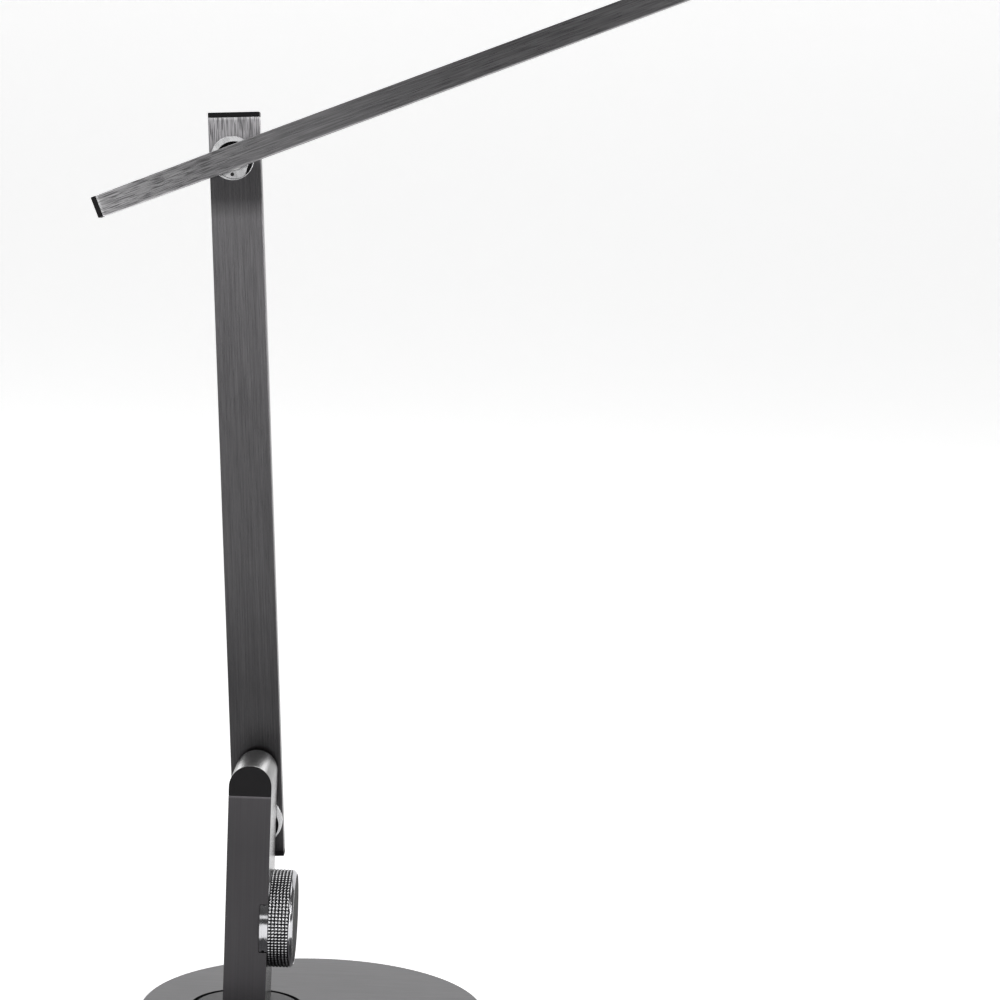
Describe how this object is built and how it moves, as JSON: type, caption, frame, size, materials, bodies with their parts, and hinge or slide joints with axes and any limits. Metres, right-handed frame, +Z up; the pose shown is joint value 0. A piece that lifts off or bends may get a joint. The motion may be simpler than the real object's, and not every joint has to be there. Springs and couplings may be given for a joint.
{
  "type": "swing arm desk lamp",
  "caption": "Slim two-arm desk lamp: round weighted base, swivelling stem with a side dimmer knob, flat leaning bar and a long arm with a light strip under its head.",
  "frame": {"origin": "centre of the base's foot, on the table", "axes": "+Z up, +X towards the lamp head, +Y to the back of the stem"},
  "size_m": [0.5302, 0.19, 0.6726],
  "materials": {
    "base_metal": "fine brushed, anodised grey",
    "weight_iron": "plain cast",
    "plate_black": "matt black powder coat",
    "foot_rubber": "matt",
    "small_steel": "bright turned steel",
    "nylon": "natural nylon",
    "black_plastic": "satin black",
    "board_green": "solder mask",
    "wire": "insulated wire",
    "stem_metal": "brushed, bright",
    "panel_grey": "dark grey, faint vertical grain",
    "cast_alloy": "as cast",
    "dimmer_can": "plated can",
    "knob_metal": "dark bright chrome, knurled",
    "knob_face_dark": "dark turned face",
    "bar_metal": "brushed lengthwise, anodised dark grey",
    "arm_metal": "brushed lengthwise, anodised dark grey",
    "chrome": "polished",
    "black_screw": "black oxide",
    "led_chip": "phosphor",
    "diffuser": "frosted white"
  },
  "bodies": {
    "base": {"base_cover": "base_metal", "base_weight": "weight_iron", "bottom_plate": "plate_black", "foot_pad": "foot_rubber", "bottom_screws": "small_steel", "swivel_bushing": "nylon", "dc_inlet": "black_plastic", "power_board": "board_green", "base_lead": "wire"},
    "stem": {"swivel_disc": "base_metal", "swivel_spindle": "small_steel", "swivel_washer": "small_steel", "swivel_nut": "small_steel", "swivel_stop_pin": "small_steel", "stem_shell": "stem_metal", "stem_front_panel": "panel_grey", "stem_back_panel": "panel_grey", "stem_cap_front": "black_plastic", "stem_cap_back": "black_plastic", "stem_chassis": "cast_alloy", "chassis_screws": "small_steel", "dimmer_body": "dimmer_can", "dimmer_bracket": "small_steel", "dimmer_nut": "small_steel", "driver_board": "board_green", "stem_lead": "wire", "lower_pivot_shaft": "small_steel", "lower_clamp_nut": "small_steel"},
    "knob": {"knob_drum": "knob_metal", "knob_sleeve": "knob_metal", "knob_bezel": "knob_metal", "knob_face": "knob_face_dark", "knob_grub_screw": "small_steel", "dimmer_shaft": "small_steel"},
    "bar": {"bar_tube": "bar_metal", "bar_top_cap": "black_plastic", "bar_bottom_cap": "black_plastic", "lower_joint_cup": "chrome", "upper_joint_cup": "chrome", "lower_cup_liner": "black_plastic", "upper_cup_liner": "black_plastic", "lower_hub_plate": "chrome", "upper_hub_plate": "chrome", "joint_screws": "black_screw", "lower_pivot_bush": "nylon", "upper_pivot_bush": "nylon", "friction_discs": "nylon", "bar_lead": "wire"},
    "arm": {"arm_tube": "arm_metal", "arm_tail_cap": "black_plastic", "arm_head_cap": "black_plastic", "upper_pivot_shaft": "small_steel", "upper_clamp_nut": "small_steel", "upper_thrust_washer": "nylon", "heat_strip": "cast_alloy", "led_board": "board_green", "led_chips": "led_chip", "led_diffuser": "diffuser", "arm_lead": "wire"}
  },
  "joints": [
    {"name": "stem_swivel", "type": "hinge", "parent": "base", "child": "stem", "pos_m": [-0.0366, 0, 0.015], "axis": [0, 0, 1], "range_deg": [-165, 165]},
    {"name": "knob_turn", "type": "hinge", "parent": "stem", "child": "knob", "pos_m": [-0.0366, 0, 0.0652], "axis": [1, 0, 0], "range_deg": [-150, 150]},
    {"name": "lower_pivot", "type": "hinge", "parent": "stem", "child": "bar", "pos_m": [-0.0356, 0.0264, 0.1139], "axis": [0, 1, 0], "range_deg": [-30, 30]},
    {"name": "upper_pivot", "type": "hinge", "parent": "bar", "child": "arm", "pos_m": [-0.05984, 0.0226, 0.4801], "axis": [0, 1, 0], "range_deg": [-50, 50]}
  ]
}
